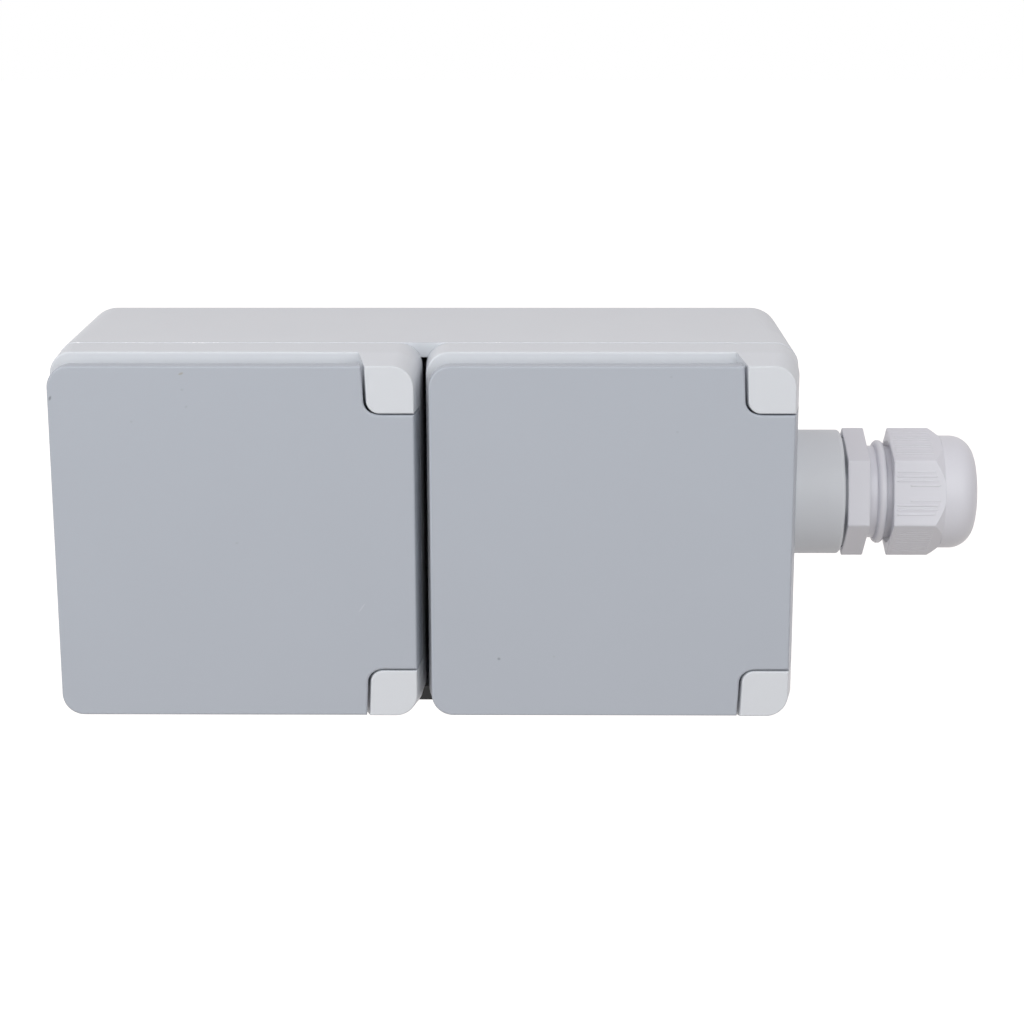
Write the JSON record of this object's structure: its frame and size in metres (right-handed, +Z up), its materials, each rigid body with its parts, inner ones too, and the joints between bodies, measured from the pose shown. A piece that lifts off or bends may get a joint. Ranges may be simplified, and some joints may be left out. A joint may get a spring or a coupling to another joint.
{
  "type": "two-gang surface wall socket",
  "caption": "Splash-proof surface wall socket, two gangs side by side, each with a square hinged lid that springs shut over a round earthed plug well, and a cable gland on one end.",
  "frame": {"origin": "centre of the box's back face, on the wall", "axes": "+X to the right, towards the cable gland; +Y into the wall; +Z up. The lids face -Y."},
  "size_m": [0.1921, 0.0574, 0.076],
  "materials": {
    "body_grey": "moulded light-grey plastic, fine matt texture",
    "lid_grey": "moulded mid-grey plastic, fine matt texture",
    "gland_grey": "moulded light-grey polyamide, satin",
    "insert_grey": "moulded grey plastic, satin",
    "base_plastic": "moulded off-white insulating plastic",
    "rubber": "soft black rubber",
    "gasket_grey": "moulded grey rubber",
    "brass": "bare rolled brass",
    "steel": "zinc-plated steel"
  },
  "bodies": {
    "housing": {"back_box": "body_grey", "gland_body": "gland_grey", "gland_washer": "gasket_grey", "gland_insert": "rubber", "cover_frame_left": "body_grey", "cover_frame_right": "body_grey", "hinge_pin_left": "steel", "hinge_pin_right": "steel", "return_spring_left": "steel", "return_spring_right": "steel", "socket_face_left": "insert_grey", "socket_face_right": "insert_grey", "socket_base_left": "base_plastic", "socket_base_right": "base_plastic", "contact_sleeves_left": "brass", "contact_sleeves_right": "brass", "earth_clip_left": "brass", "earth_clip_right": "brass", "cover_screws_left": "steel", "cover_screws_right": "steel", "centre_screw_left": "steel", "centre_screw_right": "steel", "insert_screws_left": "steel", "insert_screws_right": "steel", "terminal_screws_left": "steel", "terminal_screws_right": "steel", "box_seal_left": "rubber", "box_seal_right": "rubber"},
    "lid_left": {"lid_left": "lid_grey", "lid_seal_left": "rubber"},
    "lid_right": {"lid_right": "lid_grey", "lid_seal_right": "rubber"},
    "gland_nut": {"gland_nut": "gland_grey"}
  },
  "joints": [
    {"name": "lid_left_hinge", "type": "hinge", "parent": "housing", "child": "lid_left", "pos_m": [-0.00505, -0.0536, 0], "axis": [0, 0, 1], "range_deg": [0, 105], "stiffness_Nm_per_rad": 0.02, "springref_deg": -28.65, "deforming": ["return_spring_left"]},
    {"name": "lid_right_hinge", "type": "hinge", "parent": "housing", "child": "lid_right", "pos_m": [0.06985, -0.0536, 0], "axis": [0, 0, 1], "range_deg": [0, 105], "stiffness_Nm_per_rad": 0.02, "springref_deg": -28.65, "deforming": ["return_spring_right"]},
    {"name": "gland_nut_turn", "type": "hinge", "parent": "housing", "child": "gland_nut", "pos_m": [0.104, -0.0135, 0], "axis": [1, 0, 0], "continuous": true}
  ]
}
